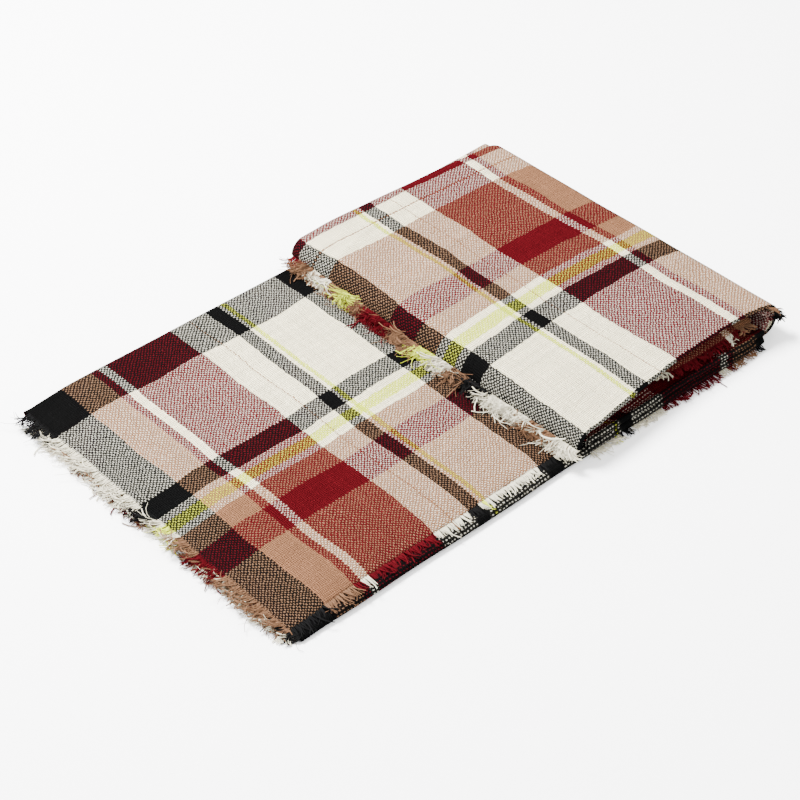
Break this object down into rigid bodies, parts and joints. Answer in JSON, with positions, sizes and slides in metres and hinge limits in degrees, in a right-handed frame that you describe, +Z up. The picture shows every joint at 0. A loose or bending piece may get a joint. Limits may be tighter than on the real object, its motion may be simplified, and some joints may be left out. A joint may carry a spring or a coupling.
{
  "type": "blanket scarf, folded",
  "caption": "Square plaid blanket scarf with short frayed fringe on its edges, folded into a strip and doubled over at one end.",
  "frame": {"origin": "middle of the folded scarf's footprint, on the surface it lies on", "axes": "+X along the strip from its raw left end to the doubled end, +Y from the raw front edge to the back fold, +Z up"},
  "size_m": [0.971, 0.63, 0.06],
  "materials": {
    "plaid_cloth": "soft napped acrylic cloth, woven in pairs of yarns, in a plaid of cream, camel, dark red, black and pale yellow",
    "folded_cloth": "the same cloth where the lower layers show at the folds and edges",
    "fringe": "frayed loose yarns in the colours of the bands that they leave"
  },
  "bodies": {
    "root": {"strip_top_layer": "plaid_cloth", "block_top_layer": "plaid_cloth", "strip_lower_layers": "folded_cloth", "block_lower_layers": "folded_cloth", "block_upper_layers": "folded_cloth", "block_end_layers": "folded_cloth", "block_mouth_layer": "folded_cloth", "fringe_strip_front": "fringe", "fringe_left_top": "fringe", "fringe_left_middle": "fringe", "fringe_left_floor": "fringe", "fringe_block_left": "fringe", "fringe_block_left_lower": "fringe", "fringe_mouth": "fringe", "fringe_floor_front": "fringe"}
  },
  "joints": []
}
